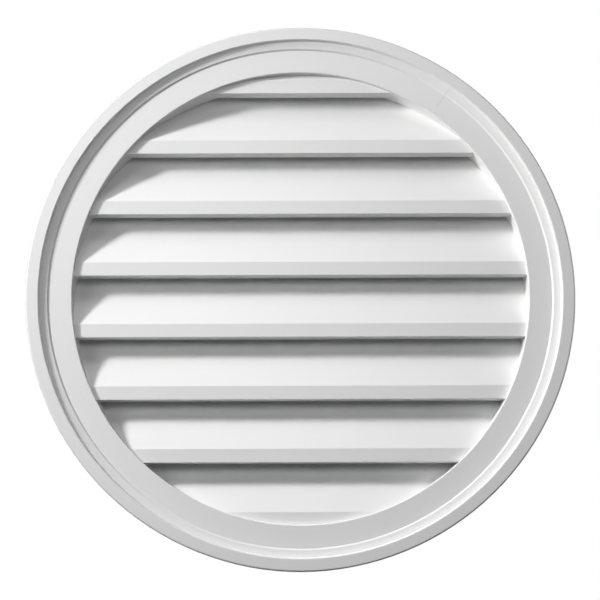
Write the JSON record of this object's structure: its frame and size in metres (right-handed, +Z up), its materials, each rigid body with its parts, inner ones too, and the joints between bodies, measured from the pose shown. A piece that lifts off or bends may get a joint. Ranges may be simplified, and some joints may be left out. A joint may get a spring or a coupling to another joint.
{
  "type": "round gable vent",
  "caption": "Round gable vent: one moulded frame with a stepped rim and fixed sloping louvres that shed rain and let attic air out, backed by a wire insect screen.",
  "frame": {"origin": "centre of the flat back face that lies on the wall", "axes": "+Z up, +X to the right seen from the front, +Y into the wall; the front faces -Y"},
  "size_m": [0.4572, 0.0413, 0.4572],
  "materials": {
    "white_finish": "satin white factory paint on moulded rigid foam",
    "screen_wire": "dull galvanised wire cloth",
    "staple_wire": "bright galvanised wire"
  },
  "bodies": {
    "root": {"vent_body": "white_finish", "insect_screen": "screen_wire", "screen_staples": "staple_wire"}
  },
  "joints": []
}
